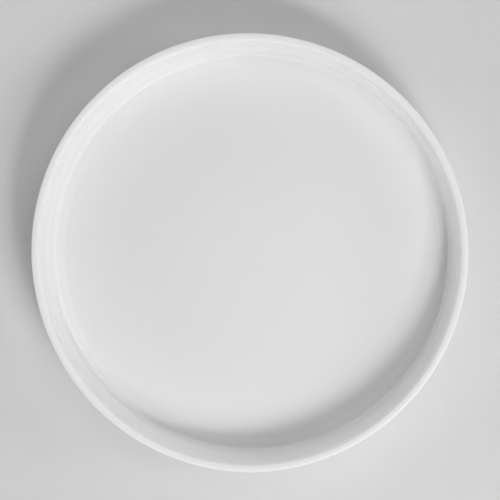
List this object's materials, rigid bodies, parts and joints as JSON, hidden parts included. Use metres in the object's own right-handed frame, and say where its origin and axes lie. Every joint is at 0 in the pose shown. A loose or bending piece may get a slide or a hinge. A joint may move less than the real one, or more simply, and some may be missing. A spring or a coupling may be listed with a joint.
{
  "type": "plate",
  "caption": "Low round porcelain plate with an outward-leaning wall, a full round lip and a foot ring, for serving and eating from.",
  "frame": {"origin": "middle of the foot ring, at the height of the table that it stands on", "axes": "+Z is the axis the plate was turned on and points up out of the dish; X and Y lie in the table, and the plate is the same all the way round"},
  "size_m": [0.175, 0.175, 0.028],
  "materials": {
    "porcelain": "satin white glaze all over, bare fired porcelain on the narrow band of the foot ring that stands on the table"
  },
  "bodies": {
    "root": {"plate": "porcelain"}
  },
  "joints": []
}
